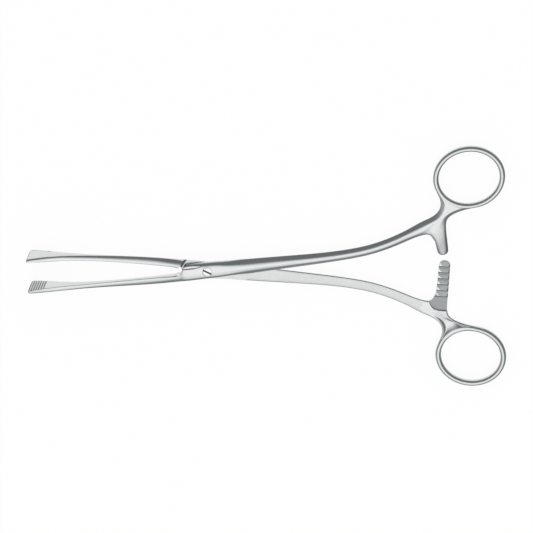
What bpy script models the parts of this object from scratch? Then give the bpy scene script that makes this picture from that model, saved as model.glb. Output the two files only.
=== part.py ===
"""Ring-handled haemostatic forceps with a screwed lap joint, modelled as three real pieces.

Frame (metres, written below in millimetres and scaled by MM):
  origin  on the pivot axis, in the flat on the back of the joint (the screw's tail lies in it)
  +X      along the instrument, from the tips to the finger rings
  +Y      across the instrument in the plane in which the arms open
  +Z      along the pivot axis, out of the front of the joint, where the screw's slot is

Both arms are the same forging. The front arm is drawn here in the closed pose, and the rear arm
is that drawing turned half a turn about X, with the jaw's ridges shifted by half their pitch so
that they mesh, and a longer ratchet arm. Each is then opened by half of REST_OPENING.
"""
import math

import bmesh
import bpy
from mathutils import Matrix, Vector

MM = 0.001

# Pose drawn: the photographed one
REST_OPENING = 9.5           # degrees between the arms

# Overall lengths from the pivot axis
TIP_REACH = 79.8             # pivot to the jaw's tip
RING_REACH = 118.3           # pivot to the middle of the finger ring, along X when closed
RING_OFFSET = 31.8           # from the centre line to the middle of the ring when closed

# Clearances
LAP_GAP = 0.30               # between the two flat inner faces of the lapped halves
JAW_GAP = 0.30               # between the jaws when closed
SCREW_PLAY = 0.15            # between screw and front arm, on the radius
THREAD_GAP = 0.02            # between screw and rear arm, on the radius
SHOULDER_GAP = 1.10          # between a lap's end and the other arm's shoulder when closed

# Joint
JOINT_DEPTH = 6.2            # front land to back land
JOINT_LAND = 4.0             # width of the flat land on each side of the joint
JOINT_TOP = 4.0              # edge of the lap on the ring side
JOINT_BOTTOM = 3.55          # edge of the lap on the jaw side
LAP_END_FOOT = -12.4         # x where the lap's slanted end meets the jaw's inner face
LAP_END_HEAD = -9.5          # x where the slanted end meets the lap's edge

# Screw
SCREW_DIAMETER = 2.8
HEAD_DIAMETER = 4.6
HEAD_CONE_DEPTH = 0.90
HEAD_RIM = 0.35
SLOT_WIDTH = 0.75
SLOT_DEPTH = 0.70
SLOT_ANGLE = -27.0           # degrees from +X, as the photograph shows it
FACETS = 48

# Jaw. The fan is given by distance from the tip, the stem behind it by share of its length.
# Each row: place, full width across, gripping face and back, both measured from the centre line
FAN_LENGTH = 20.9
FAN = ((0.0, 14.7, JAW_GAP / 2, 1.25), (0.6, 14.45, JAW_GAP / 2, 1.60), (1.0, 14.25, JAW_GAP / 2, 1.68),
       (2.5, 13.25, JAW_GAP / 2, 1.85), (4.0, 12.4, JAW_GAP / 2, 2.0), (8.0, 10.1, JAW_GAP / 2, 2.42),
       (11.3, 8.4, 0.30, 2.62), (14.6, 6.9, 0.50, 2.85), (17.8, 5.9, 0.68, 2.98))
STEM = ((0.0, 5.1, 0.84, 3.08), (0.07, 4.4, 0.93, 3.20), (0.135, 3.9, 1.00, 3.32),
        (0.27, 3.2, 1.08, 3.55), (0.45, 2.9, 1.12, 3.90), (0.635, 2.95, 1.05, 4.15),
        (0.78, 3.4, 0.98, 4.25), (0.89, 4.1, 0.90, 4.20), (1.0, 5.0, 0.85, 4.05))
FAN_CORNER = 1.0             # radius of the fan's two tip corners
JAW_SIDE_SHARE = 0.45        # share of the thickness that is a straight side, the rest is rounded

# Ridges across the gripping face
RIDGES = 7
RIDGE_PITCH = 1.08
RIDGE_HEIGHT = 0.40

# Shank of half-round section, from the joint to the neck at the finger ring.
# Each row: share of the way, share of the neck's offset, width and depth of the section
SHANK_START = 9.0
SHANK = ((0.0, 0.010, 7.15, 3.00), (0.058, 0.023, 7.05, 2.95), (0.126, 0.037, 6.75, 2.90),
         (0.218, 0.055, 6.25, 2.80), (0.322, 0.072, 5.65, 2.70), (0.425, 0.090, 5.10, 2.60),
         (0.529, 0.119, 4.70, 2.50), (0.632, 0.174, 4.52, 2.42), (0.730, 0.275, 4.45, 2.36),
         (0.833, 0.482, 4.45, 2.30), (0.937, 0.782, 4.60, 2.25), (1.0, 1.0, 4.85, 2.20))
NECK_SLOPE = 0.42            # of the shank's centre line where it reaches the neck

# Finger ring
RING_BORE_LONG = 26.5
RING_BORE_SHORT = 23.3
RING_BAND = 2.45             # radial width of the wire
RING_DEPTH = 3.8             # depth of the wire along the pivot axis
RING_TILT = 7.5              # degrees that the bore's long axis leans when closed
RING_FRONT = 2.2             # front of the wire above the mid-plane

# Neck: the end of the shank's centre line, measured from the ring's outer edge nearest to it
NECK_ANGLE = 235.0           # degrees around the ring
NECK_FROM_RING = (-15.0, -8.15)

# Web between shank, ring and ratchet arm, in plan
WEB_FRONT = 2.1              # its outer face above the mid-plane
WEB_EDGE = 0.40              # rounding of the outer face's edge
WEB_SHOULDER = ((-5.5, 0.1), (-1.0, 1.8), (2.6, 3.2), (5.2, 4.4), (7.2, 5.8), (8.3, 7.5))   # from the neck
WEB_FLANK = ((216.0, 2.3), (205.0, 0.85), (190.0, -0.1))       # degrees around the ring, beyond its edge
WEB_SOLE = ((267.0, -0.1), (259.0, 0.25), (250.0, 1.0), (242.0, 2.25))      # the same, on the other side
WEB_HEEL = ((3.2, 4.4), (1.35, 3.2), (0.3, 1.7), (0.0, 0.0), (-0.1, -1.8))  # from the ratchet's right edge
WEB_CROTCH = ((-0.45, -6.4), (-1.05, -4.8), (-2.15, -3.4), (-3.75, -2.7), (-5.75, -3.0),
              (-8.95, -4.2))                                                # from the ratchet's left edge
WIRE_OVERLAP = 0.45          # how far from the bore the web ends inside the ring's wire

# Ratchet arms and their teeth
RATCHET_LEFT = 4.95          # left edge from the neck
RATCHET_WIDTH = 5.4
RATCHET_TIP_RIGHT = ((-0.05, 5.0), (0.0, 2.0), (-0.45, 0.8), (-1.25, 0.2), (-2.2, 0.0))  # round end
RATCHET_TIP_LEFT = ((1.35, 0.15), (0.75, 0.8), (0.4, 2.0), (0.0, 4.6))
RATCHET_PAST_FRONT = 2.3     # reach of the front arm's ratchet past the centre line when closed
RATCHET_PAST_REAR = 11.7     # reach of the rear arm's ratchet past the centre line when closed
RECESS_ROOT = 0.9            # end of the milled recess above the neck
TOOTH_PITCH = 2.8
TOOTH_DEPTH = 0.80
TOOTH_LAND = 0.20            # flat on each tooth's crest
TOOTH_DROP = 0.05            # crests lie this much below the inner flat
TOOTH_FIRST = 2.6            # from the ratchet's end to the first steep face
TEETH_FRONT = 3
TEETH_REAR = 6

HALF_DEPTH = JOINT_DEPTH / 2
FLAT = LAP_GAP / 2           # inner flat above the mid-plane


def table(rows, at, column=1):
    """Value of a column of the table at one position, by a curve through the rows."""
    if at <= rows[0][0]:
        return rows[0][column]
    if at >= rows[-1][0]:
        return rows[-1][column]
    for i in range(len(rows) - 1):
        if at <= rows[i + 1][0]:
            break

    def slope(k):
        low = max(k - 1, 0)
        high = min(k + 1, len(rows) - 1)
        return (rows[high][column] - rows[low][column]) / (rows[high][0] - rows[low][0])

    span = rows[i + 1][0] - rows[i][0]
    u = (at - rows[i][0]) / span
    a = rows[i][column]
    b = rows[i + 1][column]
    return ((2 * u ** 3 - 3 * u ** 2 + 1) * a + (u ** 3 - 2 * u ** 2 + u) * span * slope(i)
            + (3 * u ** 2 - 2 * u ** 3) * b + (u ** 3 - u ** 2) * span * slope(i + 1))


def smooth_path(points, steps):
    """Points along a smooth curve through the given ones."""
    path = []
    last = len(points) - 1
    for i in range(last):
        p0 = Vector(points[max(i - 1, 0)])
        p1 = Vector(points[i])
        p2 = Vector(points[i + 1])
        p3 = Vector(points[min(i + 2, last)])
        for k in range(steps):
            u = k / steps
            path.append(0.5 * (2 * p1 + (p2 - p0) * u + (2 * p0 - 5 * p1 + 4 * p2 - p3) * u ** 2
                               + (3 * p1 - p0 - 3 * p2 + p3) * u ** 3))
    path.append(Vector(points[last]))
    return [(p.x, p.y) for p in path]


def new_object(name, mesh_builder):
    """Object whose mesh is drawn in millimetres by the builder and scaled to metres."""
    shape = bmesh.new()
    mesh_builder(shape)
    bmesh.ops.scale(shape, vec=(MM, MM, MM), verts=shape.verts)
    bmesh.ops.recalc_face_normals(shape, faces=shape.faces)
    mesh = bpy.data.meshes.new(name)
    shape.to_mesh(mesh)
    shape.free()
    result = bpy.data.objects.new(name, mesh)
    bpy.context.scene.collection.objects.link(result)
    return result


def as_tool(result):
    """Marks an object as one that only shapes others."""
    result.hide_render = True
    result.display_type = 'WIRE'
    return result


def shaped_by(target, tool, operation):
    """Adds a Boolean step with the tool to the target."""
    step = target.modifiers.new(tool.name, 'BOOLEAN')
    step.operation = operation
    step.solver = 'EXACT'
    step.object = as_tool(tool)
    return step


def loft(shape, rings):
    """Closed body through rings that all have the same number of points."""
    loops = [[shape.verts.new(p) for p in ring] for ring in rings]
    count = len(loops[0])
    for a, b in zip(loops, loops[1:]):
        for k in range(count):
            shape.faces.new((a[k], a[(k + 1) % count], b[(k + 1) % count], b[k]))
    shape.faces.new(loops[0])
    shape.faces.new(loops[-1])


def slab(shape, outline, levels, kept=()):
    """Plate over an outline: each level is a height and how far the edge is pulled in there.

    The points whose numbers are in kept stay where they are at every level.
    """
    count = len(outline)
    points = [Vector(p) for p in outline]
    area = sum(points[i - 1].cross(points[i]) for i in range(count))
    turn = 1 if area > 0 else -1
    inward = []
    for i in range(count):
        along = (points[(i + 1) % count] - points[i - 1]).normalized()
        inward.append(Vector((-along.y, along.x)) * turn * (0 if i in kept else 1))
    rings = []
    for height, inset in levels:
        rings.append([(p.x + n.x * inset, p.y + n.y * inset, height) for p, n in zip(points, inward)])
    loft(shape, rings)


def turned(shape, profile, facets=FACETS):
    """Body of revolution about the pivot axis from radius and height pairs."""
    rings = []
    for radius, height in profile:
        rings.append([(radius * math.cos(2 * math.pi * k / facets),
                       radius * math.sin(2 * math.pi * k / facets), height) for k in range(facets)])
    loft(shape, rings)


# Sections of the body, as places from the lower edge (0) to the upper edge (1) and heights there
JAW_SECTION = [((1 - JAW_SIDE_SHARE) * (1 - math.cos(math.radians(a))), math.sin(math.radians(a)))
               for a in (5, 22, 40, 58, 75, 90)] + [(0.80, 1.0), (0.94, 1.0), (1.0, 0.985)]
LAND = JOINT_LAND / (JOINT_TOP + JOINT_BOTTOM)
JOINT_SECTION = [(0.0, 0.42), (0.05, 0.74), (0.12, 0.90), (0.5 - LAND / 2, 1.0), (0.5, 1.0),
                 (0.5 + LAND / 2, 1.0), (0.88, 0.90), (0.95, 0.74), (1.0, 0.42)]
SHANK_SECTION = [(0.5 - 0.5 * math.cos(math.radians(a)), 0.18 + 0.82 * math.sin(math.radians(a)) ** 0.85)
                 for a in (0, 24, 47, 69, 90, 111, 133, 156, 180)]


def blended(one, other, share):
    return [(a[0] + (b[0] - a[0]) * share, a[1] + (b[1] - a[1]) * share) for a, b in zip(one, other)]


def section(lower, upper, top, bottom, profile, centre=0.0):
    """One ring of the body between two edge points, crowned on both sides of the centre height."""
    ring = []
    for place, height in profile:
        ring.append((lower[0] + (upper[0] - lower[0]) * place,
                     lower[1] + (upper[1] - lower[1]) * place, centre + top * height))
    for place, height in reversed(profile):
        ring.append((lower[0] + (upper[0] - lower[0]) * place,
                     lower[1] + (upper[1] - lower[1]) * place, centre + bottom * height))
    return ring


def jaw_table():
    """Rows of the whole jaw by distance from the tip, as far as the foot of the lap's end."""
    stem = TIP_REACH + LAP_END_FOOT - FAN_LENGTH
    return list(FAN) + [(FAN_LENGTH + row[0] * stem, *row[1:]) for row in STEM]


def jaw_half_width(rows, from_tip):
    half = table(rows, from_tip) / 2
    if from_tip < FAN_CORNER:
        half -= FAN_CORNER - math.sqrt(FAN_CORNER ** 2 - (FAN_CORNER - from_tip) ** 2)
    return half


def jaw_face(rows, from_tip, phase):
    """Distance of the gripping face below the centre line, with the ridges near the tip."""
    plain = table(rows, from_tip, 2)
    if from_tip > RIDGES * RIDGE_PITCH:
        return plain
    return plain - RIDGE_HEIGHT / 2 * math.cos(2 * math.pi * (from_tip / RIDGE_PITCH + phase))


def with_middles(places):
    """The places with one more halfway between each two."""
    result = [places[0]]
    for a, b in zip(places, places[1:]):
        result += [(a + b) / 2, b]
    return result


def bore_point(degrees, outwards):
    """Point at an angle around the ring's bore, moved outwards from its edge."""
    a = math.radians(degrees)
    edge = Vector((RING_BORE_LONG / 2 * math.cos(a), RING_BORE_SHORT / 2 * math.sin(a)))
    normal = Vector((math.cos(a) * RING_BORE_SHORT, math.sin(a) * RING_BORE_LONG)).normalized()
    tilt = Matrix.Rotation(math.radians(RING_TILT), 2)
    return tilt @ (edge + normal * outwards) + Vector((RING_REACH, RING_OFFSET))


def neck():
    """End of the shank's centre line."""
    return bore_point(NECK_ANGLE, RING_BAND) + Vector(NECK_FROM_RING)


def jaw_rings(phase):
    """Rings of the jaw from its tip to the foot of the lap's slanted end."""
    rows = jaw_table()
    ridged = RIDGES * RIDGE_PITCH
    per_ridge = 8
    edge = [FAN_CORNER * k for k in (0.0, 0.12, 0.3, 0.6)]
    count = int((ridged - FAN_CORNER) / RIDGE_PITCH * per_ridge)
    fine = [FAN_CORNER + (ridged - FAN_CORNER) * k / count for k in range(count + 1)]
    coarse = with_middles([fine[-1]] + [row[0] for row in rows if row[0] > fine[-1] + 0.4])[1:]
    rings = []
    for d in edge + fine + coarse:
        half = jaw_half_width(rows, d)
        rings.append(section((d - TIP_REACH, -table(rows, d, 3)), (d - TIP_REACH, -jaw_face(rows, d, phase)),
                             half, -half, JAW_SECTION))
    return rings


def joint_rings():
    """Rings of the joint, from the lap's slanted end to its last straight section."""
    back = STEM[-1][3]
    slant = LAP_END_HEAD - LAP_END_FOOT
    rings = [section((LAP_END_FOOT + slant / 2, -back), (LAP_END_HEAD, JOINT_TOP), HALF_DEPTH - LAP_GAP / 2,
                     -HALF_DEPTH, blended(JAW_SECTION, JOINT_SECTION, 0.85))]
    first = LAP_END_HEAD + slant / 2
    last = SHANK_START / 2
    for k in range(4):
        share = k / 3
        x = first + (last - first) * share
        rings.append(section((x, -back + (back - JOINT_BOTTOM) * share), (x, JOINT_TOP),
                             HALF_DEPTH, -HALF_DEPTH, JOINT_SECTION))
    return rings


def shank_rings():
    """Rings of the shank, each square to its centre line."""
    end = neck()
    length = end.x - SHANK_START
    joint_width = JOINT_TOP + JOINT_BOTTOM
    rings = []
    for share in with_middles([row[0] for row in SHANK]):
        x = SHANK_START + share * length
        ahead = min(share + 0.01, 1.0)
        behind = max(share - 0.01, 0.0)
        slope = (table(SHANK, ahead) - table(SHANK, behind)) * end.y / ((ahead - behind) * length)
        if share == 1.0:
            slope = NECK_SLOPE
        angle = math.atan(slope)
        off = Vector((-math.sin(angle), math.cos(angle))) * table(SHANK, share, 2) / 2
        middle = Vector((x, table(SHANK, share) * end.y))
        start = max(0.0, 1.0 - share * length / joint_width)
        profile = blended(SHANK_SECTION, JOINT_SECTION, 0.6 * start)
        rings.append(section(middle - off, middle + off, table(SHANK, share, 3) + FLAT,
                             -HALF_DEPTH / 2 if start > 0 else -4 * FLAT, profile))
    return rings


def mill_outline():
    """Everything that is milled away behind the inner flat, from the shoulder to the far end."""
    foot = Vector((LAP_END_FOOT, STEM[-1][2]))
    head = Vector((LAP_END_HEAD, -JOINT_TOP))
    along = (head - foot).normalized()
    out = Vector((-abs(along.y), -along.x))
    foot += out * SHOULDER_GAP
    reach = 2 * JOINT_DEPTH
    wide = RING_OFFSET + RING_BORE_LONG
    far = RING_REACH + RING_BORE_LONG
    start = foot - along * reach
    stop = foot + along * 2 * reach
    return [tuple(start), tuple(stop), (stop.x, -wide), (far, -wide), (far, wide), (start.x, wide)]


def web_outline(ratchet_end):
    """Plan of the web with its ratchet arm, and the numbers of its points inside the ring's wire."""
    root = neck()
    left = root.x + RATCHET_LEFT
    right = left + RATCHET_WIDTH
    arm = ([(right + x, ratchet_end + y) for x, y in RATCHET_TIP_RIGHT]
           + [(left + x, ratchet_end + y) for x, y in RATCHET_TIP_LEFT])
    shoulder = [tuple(root + Vector(p)) for p in WEB_SHOULDER]
    flank = [tuple(bore_point(angle, RING_BAND + beyond)) for angle, beyond in WEB_FLANK]
    sole = [tuple(bore_point(angle, RING_BAND + beyond)) for angle, beyond in WEB_SOLE]
    heel = [(right + x, root.y + y) for x, y in WEB_HEEL]
    crotch = [(left + x, root.y + y) for x, y in WEB_CROTCH]
    first = WEB_FLANK[-1][0]
    steps = round((WEB_SOLE[0][0] - first) / 8)
    inside = [tuple(bore_point(first + (WEB_SOLE[0][0] - first) * k / steps, WIRE_OVERLAP))
              for k in range(steps + 1)]
    outer = smooth_path(shoulder + flank, 3)
    inner = smooth_path(sole + heel + arm + crotch, 3)
    return outer + inside + inner, range(len(outer) - 1, len(outer) + len(inside) + 1)


def ring_rings():
    """Rings of the finger ring's wire around its oval bore."""
    rings = []
    around = 56
    for k in range(around):
        ring = []
        for j in range(12):
            b = 2 * math.pi * j / 12
            c = math.cos(b)
            s = math.sin(b)
            place = bore_point(360 * k / around, RING_BAND / 2 * (1 + math.copysign(abs(c) ** 0.85, c)))
            height = RING_DEPTH / 2 * math.copysign(abs(s) ** 0.85, s)
            ring.append((place.x, place.y, RING_FRONT - RING_DEPTH / 2 + height))
        rings.append(ring)
    return rings


def ring_body(shape):
    loops = [[shape.verts.new(p) for p in ring] for ring in ring_rings()]
    for i, loop in enumerate(loops):
        following = loops[(i + 1) % len(loops)]
        for k in range(12):
            shape.faces.new((loop[k], loop[(k + 1) % 12], following[(k + 1) % 12], following[k]))


def recess_floor():
    return neck().y - RATCHET_WIDTH / 2


def tooth_comb(shape, ratchet_end, teeth):
    """Body whose upper side is the ratchet's profile: it takes the teeth's gaps out of the flat."""
    crest = FLAT + TOOTH_DROP
    floor = FLAT + TOOTH_DEPTH
    base = FLAT - 2 * TOOTH_DEPTH
    low = ratchet_end - TOOTH_PITCH
    first = ratchet_end + TOOTH_FIRST
    profile = [(low, base), (low, floor), (first - TOOTH_PITCH, floor)]
    for k in range(round(teeth)):
        steep = first + TOOTH_PITCH * k
        profile += [(steep - TOOTH_LAND, crest), (steep, crest), (steep + TOOTH_LAND / 2, floor)]
    end = max(recess_floor() + TOOTH_LAND, profile[-1][0] + TOOTH_LAND)
    profile += [(end, floor), (end, base)]
    left = neck().x + RATCHET_LEFT
    loft(shape, [[(x, y, z) for y, z in profile]
                 for x in (left - RATCHET_WIDTH, left + 2 * RATCHET_WIDTH)])


def recess_outline():
    """Plan of the recess at the root of the teeth, with its round end."""
    root = neck()
    top = root.y + RECESS_ROOT
    low = recess_floor()
    left = root.x + RATCHET_LEFT
    far = left + 2 * RATCHET_WIDTH
    return [(left - RATCHET_WIDTH, low), (far, low), (far, top), (left + 1.7, top - 0.05),
            (left - 0.8, top - 0.5), (left - 2.6, top - 1.6), (left - 4.0, top - 3.3)]


def arm(name, phase, ratchet_end, teeth, hole_radius, countersink):
    """One forged arm in the closed pose, front side up."""
    rings = jaw_rings(phase) + joint_rings() + shank_rings()
    body = new_object(name, lambda shape: loft(shape, rings))
    plan, in_wire = web_outline(ratchet_end)
    web_levels = [(-5 * FLAT, 0.0), (WEB_FRONT - WEB_EDGE, 0.0),
                  (WEB_FRONT - 0.3 * WEB_EDGE, 0.3 * WEB_EDGE), (WEB_FRONT, WEB_EDGE)]
    web = new_object(name + "_web_tool", lambda shape: slab(shape, plan, web_levels, in_wire))
    ring = new_object(name + "_ring_tool", ring_body)
    mill = new_object(name + "_mill_tool", lambda shape: slab(
        shape, mill_outline(), [(-2 * JOINT_DEPTH, 0.0), (FLAT, 0.0)]))
    comb = new_object(name + "_tooth_tool", lambda shape: tooth_comb(shape, ratchet_end, teeth))
    recess = new_object(name + "_recess_tool", lambda shape: slab(
        shape, recess_outline(), [(FLAT - TOOTH_DEPTH, 0.0), (FLAT + TOOTH_DEPTH + 0.01, 0.0)]))
    hole_profile = [(hole_radius, -HALF_DEPTH - 2.0)]
    if countersink:
        rim = HEAD_DIAMETER / 2 + SCREW_PLAY
        cone = HALF_DEPTH - HEAD_RIM - HEAD_CONE_DEPTH
        hole_profile += [(hole_radius, cone - 0.1), (rim, HALF_DEPTH - HEAD_RIM - 0.1), (rim, HALF_DEPTH + 2.0)]
    else:
        hole_profile += [(hole_radius, HALF_DEPTH + 2.0)]
    hole = new_object(name + "_hole_tool", lambda shape: turned(shape, hole_profile))
    shaped_by(body, web, 'UNION')
    shaped_by(body, mill, 'DIFFERENCE')
    shaped_by(body, ring, 'UNION')
    shaped_by(body, comb, 'DIFFERENCE')
    shaped_by(body, recess, 'DIFFERENCE')
    shaped_by(body, hole, 'DIFFERENCE')
    return [body, web, mill, ring, comb, recess, hole]


def screw():
    """Countersunk slotted screw: its head lies in the front arm, its tail in the rear arm."""
    radius = SCREW_DIAMETER / 2
    cone = HALF_DEPTH - HEAD_RIM - HEAD_CONE_DEPTH
    profile = [(radius, -HALF_DEPTH), (radius, cone), (HEAD_DIAMETER / 2, HALF_DEPTH - HEAD_RIM),
               (HEAD_DIAMETER / 2, HALF_DEPTH - 0.1), (HEAD_DIAMETER / 2 - 0.1, HALF_DEPTH)]
    body = new_object("joint_screw", lambda shape: turned(shape, profile))
    half = HEAD_DIAMETER / 2 + 1.0
    low = HALF_DEPTH - SLOT_DEPTH
    outline = [(-half, -SLOT_WIDTH / 2), (half, -SLOT_WIDTH / 2), (half, SLOT_WIDTH / 2), (-half, SLOT_WIDTH / 2)]
    slot = new_object("joint_screw_slot_tool", lambda shape: slab(
        shape, outline, [(low, 0.0), (HALF_DEPTH + 1.0, 0.0)]))
    slot.data.transform(Matrix.Rotation(math.radians(SLOT_ANGLE), 4, 'Z'))
    shaped_by(body, slot, 'DIFFERENCE')
    return [body, slot]


def placed(objects, turn):
    """Puts drawings at their place: turned about the pivot, with the back of the joint at z = 0."""
    lift = Matrix.Translation((0.0, 0.0, HALF_DEPTH * MM))
    for one in objects:
        one.matrix_world = lift @ turn


def steel(name, colour, roughness):
    """Bare stainless steel."""
    result = bpy.data.materials.new(name)
    result.use_nodes = True
    surface = result.node_tree.nodes["Principled BSDF"]
    surface.inputs["Base Color"].default_value = (*colour, 1.0)
    surface.inputs["Metallic"].default_value = 1.0
    surface.inputs["Roughness"].default_value = roughness
    return result


def finished(target, material):
    """Gives a piece its material and shades its round faces smooth."""
    target.data.materials.append(material)
    target.data.shade_smooth()
    target.data.set_sharp_from_angle(angle=math.radians(35))


for old in list(bpy.data.objects):
    bpy.data.objects.remove(old)

half_opening = math.radians(REST_OPENING / 2)
flip = Matrix.Rotation(math.pi, 4, 'X')
front = arm("front_arm", 0.0, -RATCHET_PAST_FRONT, TEETH_FRONT, SCREW_DIAMETER / 2 + SCREW_PLAY, True)
rear = arm("rear_arm", 0.5, -RATCHET_PAST_REAR, TEETH_REAR, SCREW_DIAMETER / 2 + THREAD_GAP, False)
pin = screw()
placed(front, Matrix.Rotation(half_opening, 4, 'Z'))
placed(rear, Matrix.Rotation(-half_opening, 4, 'Z') @ flip)
placed(pin, Matrix.Identity(4))
satin = steel("satin_steel", (0.62, 0.63, 0.63), 0.32)
bright = steel("bright_steel", (0.68, 0.69, 0.70), 0.2)
finished(front[0], satin)
finished(rear[0], satin)
finished(pin[0], bright)
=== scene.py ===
"""Looks of the ring-handled forceps: two forged and polished arms and the screw that joins them.

Drawn in millimetres in the arms' closed pose, then scaled to metres, turned to the rest opening and
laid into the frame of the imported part. The photograph's camera, a white floor and studio light follow.
"""
import math

import bmesh
import bpy
from mathutils import Matrix, Vector


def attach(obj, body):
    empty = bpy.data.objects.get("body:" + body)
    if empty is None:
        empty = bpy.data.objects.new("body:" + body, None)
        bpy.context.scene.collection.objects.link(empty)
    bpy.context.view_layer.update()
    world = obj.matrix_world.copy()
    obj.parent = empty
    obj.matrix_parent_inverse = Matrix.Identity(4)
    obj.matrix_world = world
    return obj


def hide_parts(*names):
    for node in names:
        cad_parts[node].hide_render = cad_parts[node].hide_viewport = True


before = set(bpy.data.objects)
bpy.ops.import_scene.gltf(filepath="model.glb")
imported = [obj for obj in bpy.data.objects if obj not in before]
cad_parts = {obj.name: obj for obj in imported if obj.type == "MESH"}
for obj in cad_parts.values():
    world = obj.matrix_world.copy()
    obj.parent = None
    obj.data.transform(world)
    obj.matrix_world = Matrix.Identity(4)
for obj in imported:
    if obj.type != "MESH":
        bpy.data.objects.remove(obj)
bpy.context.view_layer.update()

MM = 0.001

# Camera of the photograph: direction to it from the point that it looks at
PHOTO_SIDE = 533  # pixels along each side of the photograph
CAMERA_LEAN = 19.83  # degrees between the pivot axis and the line of sight
CAMERA_SWING = 11.88  # degrees that the lean is swung from +Y towards +X
CAMERA_ROLL = -1.985  # degrees of the picture about the line of sight
CAMERA_DISTANCE = 1250.0
CAMERA_TARGET = (26.0, 1.336, 3.1)
PIXELS_PER_MM = 2.2726  # at the target
SENSOR_WIDTH = 36.0


def point_camera():
    """The photograph's camera, from its lean, swing and roll about the pivot axis."""
    lean = math.radians(CAMERA_LEAN)
    swing = math.radians(CAMERA_SWING)
    towards = Vector((math.sin(lean) * math.sin(swing), math.sin(lean) * math.cos(swing), math.cos(lean)))
    up = Vector((0, 1, 0))
    up = (up - towards * up.dot(towards)).normalized()
    right = up.cross(towards)
    turn = Matrix.Rotation(math.radians(CAMERA_ROLL), 3, towards)
    right = turn @ right
    up = turn @ up
    data = bpy.data.cameras.new("photo_camera")
    data.sensor_fit = 'HORIZONTAL'
    data.sensor_width = SENSOR_WIDTH
    data.lens = PIXELS_PER_MM * CAMERA_DISTANCE * SENSOR_WIDTH / PHOTO_SIDE
    data.clip_end = 20.0
    camera = bpy.data.objects.new("photo_camera", data)
    bpy.context.scene.collection.objects.link(camera)
    place = (Vector(CAMERA_TARGET) + towards * CAMERA_DISTANCE) * MM
    camera.matrix_world = Matrix((right, up, towards)).transposed().to_4x4()
    camera.matrix_world.translation = place
    bpy.context.scene.camera = camera


def pulled(shape, loop, points):
    """Extrudes a closed loop of vertices and puts the new loop's vertices at the points."""
    count = len(loop)
    edges = [shape.edges.get((loop[k], loop[(k + 1) % count])) for k in range(count)]
    made = set(bmesh.ops.extrude_edge_only(shape, edges=edges)["geom"])
    following = []
    for vert, point in zip(loop, points):
        partner = next(edge.other_vert(vert) for edge in vert.link_edges if edge.other_vert(vert) in made)
        partner.co = point
        following.append(partner)
    return following


# Pose drawn, and lengths from the pivot axis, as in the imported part
REST_OPENING = 9.5  # degrees between the arms
TIP_REACH = 79.8
RING_REACH = 118.3
RING_OFFSET = 31.8

# Joint
JOINT_DEPTH = 6.2
LAP_GAP = 0.30
SHOULDER_GAP = 1.10
JOINT_TOP = 4.0
JOINT_BOTTOM = 3.55
LAP_END_FOOT = -12.4
LAP_END_HEAD = -9.5
JOINT_PLACES = ((-7.5, 0.15), (-3.5, 0.5), (0.5, 0.8), (4.5, 1.0))  # x, share of the way to the lower edge
HALF_DEPTH = JOINT_DEPTH / 2
FLAT = LAP_GAP / 2  # inner flat above the mid-plane

# Jaw rows: distance from the tip (fan) or share of the stem, width, gripping face, back
FAN_LENGTH = 20.9
FAN = ((0.0, 14.7, 0.0, 1.25), (1.0, 14.25, 0.0, 1.68), (2.5, 13.25, 0.0, 1.85), (4.0, 12.4, 0.0, 2.0),
       (7.6, 10.3, 0.05, 2.40), (8.6, 9.8, 0.17, 2.47), (11.3, 8.4, 0.30, 2.62), (14.6, 6.9, 0.50, 2.85),
       (17.8, 5.9, 0.68, 2.98))
STEM = ((0.0, 5.1, 0.84, 3.08), (0.07, 4.4, 0.93, 3.20), (0.135, 3.9, 1.00, 3.32), (0.27, 3.2, 1.08, 3.55),
        (0.45, 2.9, 1.12, 3.90), (0.635, 2.95, 1.05, 4.15), (0.78, 3.4, 0.98, 4.25), (0.89, 4.1, 0.90, 4.20),
        (1.0, 5.0, 0.85, 4.05))
FAN_CORNER = 1.0
FAN_PLACES = (0.0, 0.25, 1.0, 2.5, 4.0, 5.8, 7.6, 8.6)  # sections of the fan up to the ridges' end
STEM_FROM = 13.0  # distance from the tip at which the fan's section starts to turn into the stem's
STEM_OVER = FAN_LENGTH + 8.0  # and the length over which it does

# Ridges milled across the gripping face
RIDGES = 7
RIDGE_PITCH = 1.08
RIDGE_HEIGHT = 0.36
RIDGE_FIRST = 0.35  # middle of the first groove, from the tip
GROOVE = (0.36, 0.06)  # its half widths at the face and at its floor, as shares of the pitch

# Shank rows: share of the way, share of the neck's offset, width, depth
SHANK_START = 9.0
SHANK_BLEND = 8.0  # length over which the joint's section turns into the shank's
SHANK_LIKE_JOINT = 0.6
SHANK = ((0.0, 0.010, 7.15, 3.00), (0.058, 0.023, 7.05, 2.95), (0.126, 0.037, 6.75, 2.90),
         (0.218, 0.055, 6.25, 2.80), (0.322, 0.072, 5.65, 2.70), (0.425, 0.090, 5.10, 2.60),
         (0.529, 0.119, 4.70, 2.50), (0.632, 0.174, 4.52, 2.42), (0.730, 0.275, 4.45, 2.36),
         (0.833, 0.482, 4.45, 2.30), (0.937, 0.782, 4.60, 2.25), (1.0, 1.0, 4.85, 2.20))

# Finger ring
RING_BORE_LONG = 26.5
RING_BORE_SHORT = 23.3
RING_BAND = 2.45
RING_DEPTH = 3.8
RING_TILT = 7.5
RING_FRONT = 2.2
RING_OUT = 0.09  # how far the middle of the wire lies outside that of the band
RING_STATIONS = 32
RING_FIRST = 190.6  # degrees: first station of the web's side of the ring
WEB_STATIONS = 8  # stations of the ring that the web grows from

# Neck and web
NECK_ANGLE = 235.0
NECK_FROM_RING = (-15.0, -8.15)
WEB_FRONT = 2.15

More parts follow.
